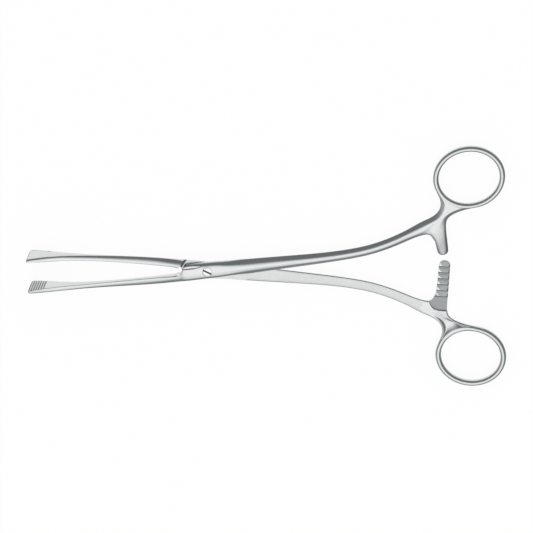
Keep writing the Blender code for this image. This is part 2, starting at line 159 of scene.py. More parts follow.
# Ratchet arms
RATCHET_LEFT = 4.95
RATCHET_WIDTH = 5.4
RATCHET_PAST_FRONT = 2.3
RATCHET_PAST_REAR = 11.7
RECESS_ROOT = 0.9
RECESS_OVER = 0.01  # how much deeper than the teeth the recess is
TOOTH_PITCH = 2.8
TOOTH_DEPTH = 0.80
TOOTH_LAND = 0.10
INTO_RECESS = 0.27  # how far the comb reaches into the recess
TOOTH_DROP = 0.05
TOOTH_FIRST = 2.6
TOOTH_ROOT = 0.6  # flat at the foot of each tooth's steep side, painted near-black as shade
TEETH_FRONT = 3
TEETH_REAR = 6
RATCHET_TOP = 1.6  # from the last row of its root to its first straight one
RATCHET_STEP = 2.6  # about the distance between its straight rows
RATCHET_BEVEL_TOP = -6.2  # upper end of the left bevel, from the neck
RATCHET_BEVELS = ((0, 0.0, -0.30, 0.0, ((2.05, -1.0), (2.05, -0.02), (0.42, 0.56), (0.0, 1.5), (0.0, -1.0))),
                  (1, RATCHET_WIDTH, -0.05, 3.5, ((-0.85, -1.0), (-0.85, -0.05), (0.5, 1.3), (0.5, -1.0))))
                             # finish, edge, slant, length above the top, and profile from edge and flat

SMOOTHING = 2  # subdivision levels of the arms
FLAT_CRISP = 0.85  # crease of the edges round the inner flats
JAW_CRISP = 0.3
LAP_BEVEL = 0.24  # bevel of the lap's end
RELIEF = 0.25  # depth of the groove at the foot of the shoulder
RELIEF_WIDTH = 1.15
LAND_SLOPE = 0.6  # width of the slope down from the screw's land
WALL_SHARE = 0.36  # height of the shank's widest place, as a share of its depth
MILL_END = 20.0
SKIM = 0.002  # what the last cut takes off the inner flats
WALL_OUT = 0.008  # how far walls stand out at half height, as a share of the width
SHARP_ANGLE = 32.0  # degrees between faces from which their edge is drawn sharp
LAND_STEPS = ((LAP_END_FOOT - 1.0, 1.65, 0.60), (-6.0, 1.70, 0.58), (-3.2, 1.95, 0.42), (-0.4, 2.4, -0.08))
CUT_PAST = 2.0  # how far the hole's cut runs past the joint
CONE_PLAY = 0.1

# Screw
SCREW_DIAMETER = 2.8
HEAD_DIAMETER = 4.2
HEAD_CONE_DEPTH = 0.90
HEAD_RIM = 0.35
SLOT_WIDTH = 0.75
SLOT_DEPTH = 0.70
SLOT_ANGLE = -27.0
SCREW_PLAY = 0.15
HEAD_PLAY = 0.03
THREAD_GAP = 0.02
SCREW_CHAMFER = 0.12
HEAD_DOME = ((0.02, 0.18), (0.09, 0.10), (0.30, 0.04), (0.70, 0.0))  # in from the rim, below the top
FACETS = 96
FACET_TURN = 1.3  # degrees that turned bodies are turned, so that no facet meets a row of the arms

# Sections of an arm, counter-clockwise seen from the tip: front from the upper to the lower edge, lower
# wall, back from the lower to the upper edge, upper wall. Each point is a place between the lower (0)
# and the upper edge (1) and a share of the height there.
FAN_FRONT = ((1.0, 0.985), (0.80, 1.0), (0.46, 0.995), (0.18, 0.955), (0.02, 0.84))
STEM_FRONT = ((1.0, 0.92), (0.84, 1.0), (0.60, 0.985), (0.28, 0.76), (0.03, 0.38))
JOINT_FRONT = ((0.95, 0.70), (0.83, 0.96), (0.5, 1.0), (0.22, 0.98), (0.045, 0.74))
SHANK_FRONT = ((0.87, 0.70), (0.70, 0.95), (0.5, 1.03), (0.30, 0.95), (0.13, 0.70))
MILLED_BACK = ((0.0, 1.0), (0.25, 1.0), (0.5, 1.0), (0.75, 1.0), (1.0, 1.0))
FLAT_BACK = ((0.0, 2.7), (0.11, 1.0), (0.5, 1.0), (0.89, 1.0), (1.0, 2.7))


def table(rows, at, column=1):
    """Value of a column of the table at one position, by a curve through the rows."""
    if at <= rows[0][0]:
        return rows[0][column]
    if at >= rows[-1][0]:
        return rows[-1][column]
    i = next(k for k in range(len(rows) - 1) if at <= rows[k + 1][0])

    def slope(k):
        low = max(k - 1, 0)
        high = min(k + 1, len(rows) - 1)
        return (rows[high][column] - rows[low][column]) / (rows[high][0] - rows[low][0])

    span = rows[i + 1][0] - rows[i][0]
    u = (at - rows[i][0]) / span
    a = rows[i][column]
    b = rows[i + 1][column]
    return ((2 * u ** 3 - 3 * u ** 2 + 1) * a + (u ** 3 - 2 * u ** 2 + u) * span * slope(i)
            + (3 * u ** 2 - 2 * u ** 3) * b + (u ** 3 - u ** 2) * span * slope(i + 1))


def mixed(one, other, share):
    return tuple(a + (b - a) * share for a, b in zip(one, other))


def mixed_all(ones, others, share):
    return [mixed(a, b, share) for a, b in zip(ones, others)]


def section(upper, lower, front, back, front_profile, back_profile, wall, wall_out=0.0):
    """Loop of an arm between its two edge points in plan; wall is the height of the walls' middle."""
    upper = Vector(upper)
    lower = Vector(lower)

    def at(place, height):
        spot = lower + (upper - lower) * place
        return Vector((spot.x, spot.y, height))

    return ([at(place, front * share) for place, share in front_profile] + [at(-wall_out, wall)]
            + [at(place, back * share) for place, share in back_profile] + [at(1 + wall_out, wall)])


def bore_point(degrees, outwards):
    """Point at an angle around the ring's bore, moved outwards from its edge."""
    a = math.radians(degrees)
    edge = Vector((RING_BORE_LONG / 2 * math.cos(a), RING_BORE_SHORT / 2 * math.sin(a)))
    normal = Vector((math.cos(a) * RING_BORE_SHORT, math.sin(a) * RING_BORE_LONG)).normalized()
    tilt = Matrix.Rotation(math.radians(RING_TILT), 2)
    return tilt @ (edge + normal * outwards) + Vector((RING_REACH, RING_OFFSET))


def neck():
    """End of the shank's centre line."""
    return bore_point(NECK_ANGLE, RING_BAND) + Vector(NECK_FROM_RING)


def jaw_sections():
    """From the tip to the foot of the lap's end."""
    stem = TIP_REACH + LAP_END_FOOT - FAN_LENGTH
    rows = list(FAN) + [(FAN_LENGTH + row[0] * stem, *row[1:]) for row in STEM]
    loops = []
    for d in [*FAN_PLACES] + [row[0] for row in rows if row[0] > FAN_PLACES[-1]]:
        half = table(rows, d) / 2
        if d < FAN_CORNER:
            half -= FAN_CORNER - math.sqrt(FAN_CORNER ** 2 - (FAN_CORNER - d) ** 2)
        face = table(rows, d, 2)
        back = table(rows, d, 3)
        profile = mixed_all(FAN_FRONT, STEM_FRONT, min(max((d - STEM_FROM) / STEM_OVER, 0.0), 1.0))
        loops.append(section((d - TIP_REACH, -face), (d - TIP_REACH, -back), half, -half,
                             profile, profile[::-1], 0.0))
    return loops


def joint_sections():
    """From the lap's slanted end to the half-round shank."""
    back = STEM[-1][3]
    mirrored = JOINT_FRONT[::-1]
    loops = [section((LAP_END_HEAD - 1.7, JOINT_TOP), (LAP_END_FOOT + 1.2, -back),
                     HALF_DEPTH, -HALF_DEPTH, JOINT_FRONT, mirrored, 0.0)]
    for x, share in JOINT_PLACES:
        loops.append(section((x, JOINT_TOP), (x, -back + (back - JOINT_BOTTOM) * share),
                             HALF_DEPTH, -HALF_DEPTH, JOINT_FRONT, mirrored, 0.0, WALL_OUT))
    return loops


def shank_sections():
    """Half-round sections of the shank, each square to its centre line."""
    end = neck()
    length = end.x - SHANK_START
    loops = []
    shares = [row[0] for row in SHANK]
    middles = [(a + b) / 2 for a, b in zip(shares, shares[1:])]
    for share in sorted(shares[:-1] + middles)[:-1]:
        x = SHANK_START + share * length
        ahead = min(share + 0.01, 1.0)
        behind = max(share - 0.01, 0.0)
        slope = (table(SHANK, ahead) - table(SHANK, behind)) * end.y / ((ahead - behind) * length)
        angle = math.atan(slope)
        off = Vector((-math.sin(angle), math.cos(angle))) * table(SHANK, share, 2) / 2
        middle = Vector((x, table(SHANK, share) * end.y))
        start = max(0.0, 1.0 - share * length / SHANK_BLEND)
        front = table(SHANK, share, 3) + FLAT
        profile = mixed_all(SHANK_FRONT, JOINT_FRONT, SHANK_LIKE_JOINT * start)
        wall = WALL_SHARE * front * (1 - start)
        if start > 0:
            loops.append(section(middle + off, middle - off, front, -HALF_DEPTH / 2,
                                 profile, MILLED_BACK, wall))
        else:
            loops.append(section(middle + off, middle - off, front, FLAT, profile, FLAT_BACK, wall, WALL_OUT))
    return loops


def blend_between(first, last, left, right, v):
    """Points of a row between two rows, bounded by two edge points (a Coons patch)."""
    count = len(first)
    row = []
    for i in range(count):
        u = i / (count - 1)
        across = first[i] * (1 - v) + last[i] * v
        start = first[0] * (1 - v) + last[0] * v
        end = first[-1] * (1 - v) + last[-1] * v
        row.append(across + (left - start) * (1 - u) + (right - end) * u)
    return row


# Web rows in plan, from the junction with shank and ratchet arm to the ring: left and right outline,
# measured from the neck
WEB_LEFT = ((-0.35, 2.75), (2.6, 3.95), (5.4, 5.15), (7.55, 6.85), (8.75, 9.3), (8.75, 12.2))
WEB_RIGHT = ((10.5, 0.9), (11.15, 2.75), (13.0, 4.15), (15.45, 5.2), (18.2, 5.9), (21.1, 6.45))
CROTCH = (1.95, -2.85)  # where the shank's lower edge turns into the ratchet arm
RATCHET_ROOT = (((3.55, -4.3), (10.3, -1.3)), ((4.5, -6.4), (10.25, -3.7)))  # its first rows
RATCHET_END = ((2.3, 0.3, 0.0), (1.05, 0.6, -0.22), (0.35, 1.15, -0.85), (0.0, 1.9, -1.7))  # above its end
ROUND_EDGE = (1.15, 1.55)  # how far the neck's full edge runs in from the outline, and its height there
WEB_EDGE = (0.95, 1.52)  # and the edge of the web on its other side
THIN_EDGE = (0.62, 1.84)  # and of the root of the ratchet arm
LEAST_EDGE = (0.55, 1.76)
JUNCTION_RISE = 0.15  # how far the shank's end stands above the web's front
BACK_INSET = 0.6  # how far the rims of the web's back run in
WEB_STEP = 1.0  # from an edge to the web's next row of points
WEB_OWN_STEP = 0.75  # share of the junction's and the ring's spacing that rows near them keep
WEB_CHORD = 6.0  # how far the rows are straightened between the crotch and the ring
WEB_CROWN = ((0.0, -0.06), (0.35, -0.03), (0.55, 0.04), (0.7, 0.12), (0.85, 0.24), (1.0, 0.34))
                             # how far the web's front falls from its left outline to its right one
WALL_HEIGHT = 0.95
RING_FULLNESS = 1.03  # makes up for what subdivision takes off the wire
RING_SQUARE = 0.82  # 1 for an oval wire, less for one with flatter sides
WIRE_PLACES = tuple(range(0, 360, 30))  # degrees round the wire, from its outer side over the front
WEB_PLACES = (-52, 0, 60, 90, 120, 150, 180, 210, 235, 258, 276, 292)  # and where the web grows from it
WEB_SINK = (0.1, 0.45, 0.9, 1.0, 1.0, 0.9, 0.45, 0.1)  # how far the web's hollow takes the wire along
WEB_RIM = (0.12, -0.25, -0.62, -0.92, -1.10)  # height of the web's back along its rims, row by row
WEB_DISH = (0.17, 0.45, 0.75, 0.70, 0.25)  # and in the hollow between them
HOLLOW_DEPTH = 0.58


def edge_row(left, right, count, front, left_edge, right_edge, left_inwards=None, right_inwards=None):
    """Row of front vertices from the left to the right outline, its ends pulled in and lowered."""
    along = (right - left).normalized()
    start = left + (left_inwards or along) * left_edge[0]
    end = right + (right_inwards or -along) * right_edge[0]
    row = []
    for i in range(count):
        spot = start.lerp(end, i / (count - 1))
        row.append(Vector((spot.x, spot.y, front)))
    row[0].z = left_edge[1]
    row[-1].z = right_edge[1]
    return row


def inwards(outline, k, hand):
    """Direction into the web, square to its outline at one row; hand is 1 on the right and -1 on the left."""
    ahead = Vector(outline[min(k + 1, len(outline) - 1)]) - Vector(outline[k - 1])
    return Vector((-ahead.y, ahead.x)).normalized() * hand


def web_row(first, last, start, end, start_in, end_in, v):
    """Row of the web whose second points step inwards from its ends."""
    near_ring = v * v
    near_junction = (1 - v) ** 4
    inner = 1 - near_ring - near_junction

    def step(one, towards):
        own = ((first[one + towards] - first[one]) * near_junction
               + (last[one + towards] - last[one]) * near_ring)
        return own * WEB_OWN_STEP

    start_step = start_in.to_3d() * WEB_STEP * inner + step(0, 1)
    end_step = end_in.to_3d() * WEB_STEP * inner + step(-1, -1)
    inside = blend_between(first[1:-1], last[1:-1], start + start_step, end + end_step, v)
    chord = [inside[0].lerp(inside[-1], i / (len(inside) - 1)) for i in range(len(inside))]
    towards_chord = WEB_CHORD * v * (1 - v) ** 2
    return [start] + [p.lerp(q, towards_chord) for p, q in zip(inside, chord)] + [end]


def across_web(spot):
    """Where a point from the neck lies between the web's outlines: 0 on the left one, 1 on the right."""
    gaps = []
    for outline in (WEB_LEFT, WEB_RIGHT):
        steps = []
        for a, b in zip(outline, outline[1:]):
            start = Vector(a)
            along = Vector(b) - start
            share = min(max((spot - start).dot(along) / along.length_squared, 0.0), 1.0)
            steps.append((start + along * share - spot).length)
        gaps.append(min(steps))
    return gaps[0] / (gaps[0] + gaps[1])


def flat_row(left, right, count):
    return [Vector((*(Vector(left) * (1 - i / (count - 1)) + Vector(right) * (i / (count - 1))), FLAT))
            for i in range(count)]


def wall_point(spot):
    """Middle of a thin wall's height at a place in plan."""
    return Vector((spot[0], spot[1], WALL_HEIGHT))


def ring_station(k):
    """Loop of the wire at one station, from its outer edge over the front and round the bore."""
    angle = RING_FIRST + 360.0 * k / RING_STATIONS
    by_web = k < WEB_STATIONS
    loop = []
    for place in WEB_PLACES if by_web else WIRE_PLACES:
        c, s = (RING_FULLNESS * math.copysign(abs(share) ** RING_SQUARE, share)
                for share in (math.cos(math.radians(place)), math.sin(math.radians(place))))
        if by_web and s < 0:
            s *= 1 - HOLLOW_DEPTH * WEB_SINK[k]
        spot = bore_point(angle, RING_BAND / 2 * (1 + c) + RING_OUT)
        loop.append(Vector((spot.x, spot.y, RING_FRONT - RING_DEPTH / 2 * (1 - s))))
    return loop


def closed_with(shape, verts):
    """Closed loop of vertices that are there already, with the edges that it lacks."""
    for a, b in zip(verts, verts[1:] + verts[:1]):
        if not shape.edges.get((a, b)):
            shape.edges.new((a, b))
    return verts


def new_loop(shape, points):
    return closed_with(shape, [shape.verts.new(p) for p in points])


def pushed(shape, face, by):
    """Extrudes a face by a step and returns the vertices of its far end."""
    far = bmesh.ops.extrude_face_region(shape, geom=[face])["geom"]
    verts = [v for v in far if isinstance(v, bmesh.types.BMVert)]
    bmesh.ops.translate(shape, vec=by, verts=verts)
    return verts


def arm_cage(shape, ratchet_end):
    """Coarse hull of an arm in the closed pose, front side up; subdivision makes it smooth."""
    crisp = shape.edges.layers.float.new("crease_edge")
    corners = {}

    def corner(verts, value):
        for vert in verts:
            corners[vert] = value

    # jaw, joint and shank
    sections = jaw_sections() + joint_sections() + shank_sections()
    jaws = len(jaw_sections())
    loop = new_loop(shape, sections[0])
    tip = list(loop)
    upper_front = 0
    upper_back = 10
    corner((loop[upper_front], loop[upper_back]), JAW_CRISP)
    for number, points in enumerate(sections[1:], 1):
        loop = pulled(shape, loop, points)
        if number < jaws:
            corner((loop[upper_front], loop[upper_back]), JAW_CRISP)

    # junction of shank, ratchet arm and web
    root = neck()
    upper = root + Vector(WEB_LEFT[0])
    crotch = root + Vector(CROTCH)
    heel = root + Vector(WEB_RIGHT[0])
    across = edge_row(upper, crotch, 5, WEB_FRONT + JUNCTION_RISE, ROUND_EDGE, THIN_EDGE)
    under = flat_row(crotch, upper, 5)
    shank_end = pulled(shape, loop, across + [wall_point(crotch)] + under + [wall_point(upper)])
    root_front = edge_row(crotch, heel, 4, WEB_FRONT, THIN_EDGE, WEB_EDGE)[1:]
    root_back = flat_row(heel, crotch, 4)[:-1]
    added = [shape.verts.new(p) for p in root_front + [wall_point(heel)] + root_back]
    ratchet = closed_with(shape, [shank_end[4]] + added + [shank_end[6], shank_end[5]])
    web = closed_with(shape, shank_end[:5] + added + shank_end[6:])
    corner((added[4],), FLAT_CRISP)

    # ratchet arm
    rows = [(root + Vector(a), root + Vector(b)) for a, b in RATCHET_ROOT]
    left = root.x + RATCHET_LEFT
    right = left + RATCHET_WIDTH
    top = rows[-1][0].y - RATCHET_TOP
    straight = max(1, round((top - ratchet_end - RATCHET_END[0][0]) / RATCHET_STEP))
    for k in range(straight):
        y = top + (ratchet_end + RATCHET_END[0][0] - top) * k / straight
        rows.append((Vector((left + 0.3 * k / straight, y)),
                     Vector((right - 0.05, y - 1.2 * (1 - k / straight)))))
    for above, from_left, from_right in RATCHET_END:
        rows.append((Vector((left + from_left, ratchet_end + above)),
                     Vector((right + from_right, ratchet_end + above))))
    for number, (a, b) in enumerate(rows):
        front = edge_row(a, b, 4, WEB_FRONT - 0.03, LEAST_EDGE, LEAST_EDGE)
        back = flat_row(b, a, 4)
        if number == len(rows) - 1:
            front = [Vector((p.x, p.y, LEAST_EDGE[1] - 0.4)) for p in front]
        ratchet = pulled(shape, ratchet, front + [wall_point(b)] + back + [wall_point(a)])
        corner((ratchet[5], ratchet[8]), FLAT_CRISP)
    bmesh.ops.contextual_create(shape, geom=ratchet)
    bmesh.ops.contextual_create(shape, geom=tip)

    # finger ring, its side towards the web left open
    stations = [new_loop(shape, ring_station(0))]
    for k in range(1, RING_STATIONS):
        stations.append(pulled(shape, stations[-1], ring_station(k)))
    seam = [shape.edges.get((a, b)) for loop in (stations[0], stations[-1])
            for a, b in zip(loop, loop[1:] + loop[:1])]
    bmesh.ops.bridge_loops(shape, edges=seam)
    sector = stations[:WEB_STATIONS]
    gone = []
    for one, other in zip(sector, sector[1:]):
        for j in (0, 1):
            gone.append(next(face for face in one[j].link_faces
                             if {one[j], one[j + 1], other[j], other[j + 1]} == set(face.verts)))
    bmesh.ops.delete(shape, geom=gone, context='FACES')

    # web, row by row to the ring
    mouth = ([loop[2] for loop in sector] + [sector[-1][1]] + [loop[0] for loop in reversed(sector)]
             + [sector[0][1]])
    front_first = [vert.co.copy() for vert in web[:8]]
    front_last = [vert.co.copy() for vert in mouth[:8]]
    back_first = [vert.co.copy() for vert in web[9:17]]
    back_last = [vert.co.copy() for vert in mouth[9:17]]
    steps = len(WEB_LEFT)
    for k in range(1, steps):
        v = k / steps
        a = root + Vector(WEB_LEFT[k])
        b = root + Vector(WEB_RIGHT[k])
        left_in = inwards(WEB_LEFT, k, -1)
        right_in = inwards(WEB_RIGHT, k, 1)
        edge = edge_row(a, b, 2, WEB_FRONT, ROUND_EDGE, WEB_EDGE, left_in, right_in)
        front = web_row(front_first, front_last, edge[0], edge[1], left_in, right_in, v)
        for p in front[1:-1]:
            p.z = WEB_FRONT - table(WEB_CROWN, across_web(Vector((p.x, p.y)) - root))
        rim = WEB_RIM[k - 1]
        left_rim = Vector((*(a + left_in * BACK_INSET), rim))
        right_rim = Vector((*(b + right_in * BACK_INSET), rim))
        back = web_row(back_first, back_last, right_rim, left_rim, right_in, left_in, v)
        for p in back[1:-1]:
            p.z = WEB_DISH[k - 1]
        web = pulled(shape, web, front + [wall_point(b)] + back + [wall_point(a)])
    open_edges = [shape.edges.get((a, b)) for loop in (web, mouth)
                  for a, b in zip(loop, loop[1:] + loop[:1])]
    bmesh.ops.bridge_loops(shape, edges=open_edges)

    for edge in shape.edges:
        a, b = edge.verts
        if a in corners and b in corners:
            edge[crisp] = min(corners[a], corners[b])


def stepped_plate(shape, outline, low, high):
    """Prism over an outline."""
    base = shape.faces.new([shape.verts.new((p[0], p[1], low)) for p in outline])
    pushed(shape, base, (0, 0, high - low))


def object_from(shape, name):
    """Object in the scene from a bmesh, which is freed."""
    mesh = bpy.data.meshes.new(name)
    shape.to_mesh(mesh)
    shape.free()
    result = bpy.data.objects.new(name, mesh)
    bpy.context.scene.collection.objects.link(result)
    return result


def made_object(name, builder, *materials):
    """Object from a bmesh drawn in millimetres."""
    shape = bmesh.new()
    builder(shape)
    bmesh.ops.scale(shape, vec=(MM, MM, MM), verts=shape.verts)
    bmesh.ops.recalc_face_normals(shape, faces=shape.faces)
    result = object_from(shape, name)
    for material in materials:
        result.data.materials.append(material)
    return result


def cut_by(target, name, builder, *materials):
    """Adds a cut with a tool drawn by the builder; its faces keep the tool's finish."""
    tool = made_object(name, builder, *materials)
    step = target.modifiers.new(name, 'BOOLEAN')
    step.operation = 'DIFFERENCE'
    step.solver = 'EXACT'
    step.material_mode = 'TRANSFER'
    step.object = tool
    return tool


def settled(target, tools):
    """Applies an object's modifiers and clears the tools away."""
    bpy.context.view_layer.update()
    graph = bpy.context.evaluated_depsgraph_get()
    mesh = bpy.data.meshes.new_from_object(target.evaluated_get(graph))
    target.modifiers.clear()
    old = target.data
    target.data = mesh
    bpy.data.meshes.remove(old)
    for tool in tools:
        bpy.data.objects.remove(tool)
    return target


def shoulder_line():
    """Two points on the shoulder's wall, far outside the arm, and the direction out of the wall."""
    foot = Vector((LAP_END_FOOT, STEM[-1][2]))
    head = Vector((LAP_END_HEAD, -JOINT_TOP))
    along = (head - foot).normalized()
    out = Vector((-abs(along.y), -along.x))
    foot += out * SHOULDER_GAP
    reach = 2 * JOINT_DEPTH
    return foot - along * reach, foot + along * 2 * reach, out


def mill_outline():
    """Behind the inner flat, from the shoulder to where the shank is a half-round of its own."""
    start, stop, _ = shoulder_line()
    return [start, stop, Vector((MILL_END, stop.y)), Vector((MILL_END, start.y))]


def relief_outline():
    """Groove in the flat along the foot of the shoulder."""
    start, stop, out = shoulder_line()
    return [start, stop, stop - out * RELIEF_WIDTH, start - out * RELIEF_WIDTH]


def lap_end_block(shape):
    """Body in front of the lap's slanted end, wider above for the bevel along its edge."""
    foot = Vector((LAP_END_FOOT + 0.1, -STEM[-1][2] + 0.12))
    head = Vector((LAP_END_HEAD, JOINT_TOP))
    head = foot + (head - foot) * 1.6
    outline = [foot, head, Vector((foot.x - 9.0, head.y)), Vector((foot.x - 9.0, foot.y + 0.9))]
    base = shape.faces.new([shape.verts.new((p.x, p.y, -JOINT_DEPTH)) for p in outline])
    for rise, shift in ((JOINT_DEPTH + HALF_DEPTH - LAP_BEVEL, 0.0), (2 * LAP_BEVEL, 2 * LAP_BEVEL)):
        top = bmesh.ops.extrude_face_region(shape, geom=[base])["geom"]
        verts = [v for v in top if isinstance(v, bmesh.types.BMVert)]
        bmesh.ops.translate(shape, vec=(shift, 0, rise), verts=verts)
        if base.is_valid and shift:
            bmesh.ops.delete(shape, geom=[base], context='FACES_ONLY')
        base = next(face for face in top if isinstance(face, bmesh.types.BMFace))
    # Faces above the half depth take the bright steel of the bevel and faces facing along y the satin; the
    # rest, the lap end's walls, take the near-black steel as painted shade in the gap
    for face in shape.faces:
        face.normal_update()
        if max(vert.co.z for vert in face.verts) > HALF_DEPTH:
            face.material_index = 1
        elif abs(face.normal.y) > abs(face.normal.x):
            face.material_index = 2


def land_step(shape):
    """Strip taken off beside the screw's land, along the lap's upper edge; it runs out beside the screw."""
    wide = JOINT_TOP + 2.0
    loops = []
    above = HALF_DEPTH + 0.6
    for x, edge, deep in LAND_STEPS:
        floor = HALF_DEPTH - deep
        loops.append([(x, edge, above), (x, edge, HALF_DEPTH + 0.02), (x, edge + LAND_SLOPE, floor),
                      (x, wide, floor - 0.04), (x, wide, above)])
    loop = new_loop(shape, loops[0])
    bmesh.ops.contextual_create(shape, geom=loop)
    for points in loops[1:]:
        loop = pulled(shape, loop, points)
    bmesh.ops.contextual_create(shape, geom=loop)


def ratchet_bevels(shape, ratchet_end):
    """Wedges along both edges of the ratchet arm's toothed side: the left one wide, with a steep rim."""
    low = ratchet_end - 1.0
    high = neck().y + RATCHET_BEVEL_TOP
    for finish, from_left, slant, above, profile in RATCHET_BEVELS:
        edge = neck().x + RATCHET_LEFT + from_left
        side = shape.faces.new([shape.verts.new((edge + x, low, FLAT + z)) for x, z in profile])
        verts = pushed(shape, side, (slant, high + above - low, 0))
        for face in {face for vert in verts for face in vert.link_faces}:
            face.material_index = finish


def tooth_comb(shape, ratchet_end, teeth):
    """Body whose upper side is the ratchet's profile: it takes the teeth's gaps out of the flat."""
    crest = FLAT + TOOTH_DROP
    floor = FLAT + TOOTH_DEPTH
    base = FLAT - 2 * TOOTH_DEPTH
    low = ratchet_end - TOOTH_PITCH
    first = ratchet_end + TOOTH_FIRST
    profile = [(low, base), (low, floor), (first - TOOTH_PITCH, floor)]
    for k in range(teeth):
        steep = first + TOOTH_PITCH * k
        foot = steep + TOOTH_LAND / 2
        profile += [(steep - TOOTH_LAND, crest), (steep, crest), (foot, floor), (foot + TOOTH_ROOT, floor)]
    end = max(neck().y - RATCHET_WIDTH / 2 + INTO_RECESS, profile[-1][0] + INTO_RECESS)
    profile += [(end, floor), (end, base)]
    left = neck().x + RATCHET_LEFT - RATCHET_WIDTH / 2
    side = shape.faces.new([shape.verts.new((left, y, z)) for y, z in profile])
    pushed(shape, side, (2 * RATCHET_WIDTH, 0, 0))
    # The small flats at the teeth's feet take the near-black steel as painted shade; the long floors take the
    # milled steel
    for face in shape.faces:
        if min(vert.co.z for vert in face.verts) > floor - 0.01:
            face.material_index = 1 if face.calc_area() < 3 * RATCHET_WIDTH * TOOTH_ROOT else 2


def recess_outline():
    """Recess at the root of the ratchet arm's toothed side."""
    root = neck()
    top = root.y + RECESS_ROOT
    low = root.y - RATCHET_WIDTH / 2
    left = root.x + RATCHET_LEFT
    far = left + 2 * RATCHET_WIDTH
    return [(left - 2.75, low), (far, low), (far, top), (left + 1.7, top - 0.05),
            (left - 0.5, top - 0.6), (left - 1.7, top - 1.7), (left - 2.6, top - 3.2)]


def ridge_comb(shape, phase):
    """V-grooves between the ridges of the gripping face."""
    deep = FAN[0][2] + RIDGE_HEIGHT
    wide = FAN[0][1]
    clear = 1.0
    profile = []
    for k in range(RIDGES):
        middle = (k + phase) * RIDGE_PITCH + RIDGE_FIRST
        profile += [(middle - GROOVE[0] * RIDGE_PITCH, -0.02), (middle - GROOVE[1] * RIDGE_PITCH, deep),
                    (middle + GROOVE[1] * RIDGE_PITCH, deep), (middle + GROOVE[0] * RIDGE_PITCH, -0.02)]
    profile = [(d, depth) for d, depth in profile if d > -0.5]
    points = [(profile[0][0], -clear)] + profile + [(profile[-1][0], -clear)]
    side = shape.faces.new([shape.verts.new((d - TIP_REACH, -depth, -wide)) for d, depth in points])
    pushed(shape, side, (0, 0, 2 * wide))


def turned(shape, profile):
    """Body of revolution about the pivot axis from radius and height pairs."""
    verts = [shape.verts.new((radius, 0, height)) for radius, height in profile]
    edges = [shape.edges.new(pair) for pair in zip(verts, verts[1:])]
    bmesh.ops.spin(shape, geom=verts + edges, cent=(0, 0, 0), axis=(0, 0, 1), angle=2 * math.pi,
                   steps=FACETS, use_merge=True)
    bmesh.ops.remove_doubles(shape, verts=shape.verts, dist=1e-5)
    bmesh.ops.holes_fill(shape, edges=[e for e in shape.edges if e.is_boundary], sides=0)
    bmesh.ops.rotate(shape, cent=(0, 0, 0), matrix=Matrix.Rotation(math.radians(FACET_TURN), 3, 'Z'),
                     verts=shape.verts)


def laid_in_place(target, turn):
    """Puts a piece's drawing at its place in the frame, in its mesh."""
    target.data.transform(Matrix.Translation((0, 0, HALF_DEPTH * MM)) @ turn)


def shaded(target):
    target.data.shade_smooth()
    target.data.set_sharp_from_angle(angle=math.radians(SHARP_ANGLE))


def ground_flat(arm):
    """Gives the ground finish to the inner flat of joint and shank."""
    finishes = [material.name for material in arm.data.materials]
    for face in arm.data.polygons:
        low = -FLAT * MM < face.center.z < (FLAT + 0.12) * MM
        if low and face.normal.z < -0.93 and face.center.x < (neck().x - 1.0) * MM:
            face.material_index = finishes.index("ground")


def painted_edge_shade(arm):
    """Gives the fan's far edge and its tip's edge the darker milled finish, as painted shade lines along the
    outline.
    """
    finishes = [material.name for material in arm.data.materials]
    for face in arm.data.polygons:
        far = face.center.z < 1.0 * MM and -0.9 < face.normal.z < -0.06 and abs(face.normal.y) > 0.4
        tip = face.center.x < (0.9 - TIP_REACH) * MM and face.normal.x < -0.2
        if face.center.x < (FAN_LENGTH / 2 - TIP_REACH) * MM and (far or tip):
            face.material_index = finishes.index("milled")


def forged_arm(name, ratchet_end, teeth, ridge_phase, hole_radius, countersink, turn):
    """An arm: its smooth forging, the cuts in the order in which they are made, and its finishes."""
    arm = made_object(name, lambda shape: arm_cage(shape, ratchet_end), satin)
    smooth = arm.modifiers.new("smooth", 'SUBSURF')
    smooth.levels = SMOOTHING
    smooth.render_levels = SMOOTHING
    tools = [
        cut_by(arm, "mill", lambda shape: stepped_plate(shape, mill_outline(), -2 * JOINT_DEPTH, FLAT - SKIM),
               ground),
        cut_by(arm, "comb", lambda shape: tooth_comb(shape, ratchet_end, teeth), sawn, painted_shade_steel, milled),
        cut_by(arm, "recess", lambda shape: stepped_plate(shape, recess_outline(), FLAT - TOOTH_DEPTH,
                                                          FLAT + TOOTH_DEPTH + RECESS_OVER), milled),
        cut_by(arm, "ridges", lambda shape: ridge_comb(shape, ridge_phase), milled),
        cut_by(arm, "lap_end", lap_end_block, painted_shade_steel, bright, satin),
        # the relief groove takes the near-black steel as painted shade
        cut_by(arm, "relief", lambda shape: stepped_plate(shape, relief_outline(), -FLAT, FLAT + RELIEF),
               painted_shade_steel),
        cut_by(arm, "ratchet_bevels", lambda shape: ratchet_bevels(shape, ratchet_end), bright, milled)]
    hole_profile = [(hole_radius, -HALF_DEPTH - CUT_PAST)]
    if countersink:
        tools.append(cut_by(arm, "land_step", land_step, satin))
        rim = HEAD_DIAMETER / 2 + HEAD_PLAY
        cone = HALF_DEPTH - HEAD_RIM - HEAD_CONE_DEPTH
        hole_profile += [(hole_radius, cone - CONE_PLAY), (rim, HALF_DEPTH - HEAD_RIM - CONE_PLAY),
                         (rim, HALF_DEPTH + CUT_PAST)]
    else:
        hole_profile += [(hole_radius, HALF_DEPTH + CUT_PAST)]
    tools.append(cut_by(arm, "hole", lambda shape: turned(shape, hole_profile), ground))
    settled(arm, tools)
    ground_flat(arm)
    laid_in_place(arm, turn)
    painted_edge_shade(arm)
    shaded(arm)
    return arm


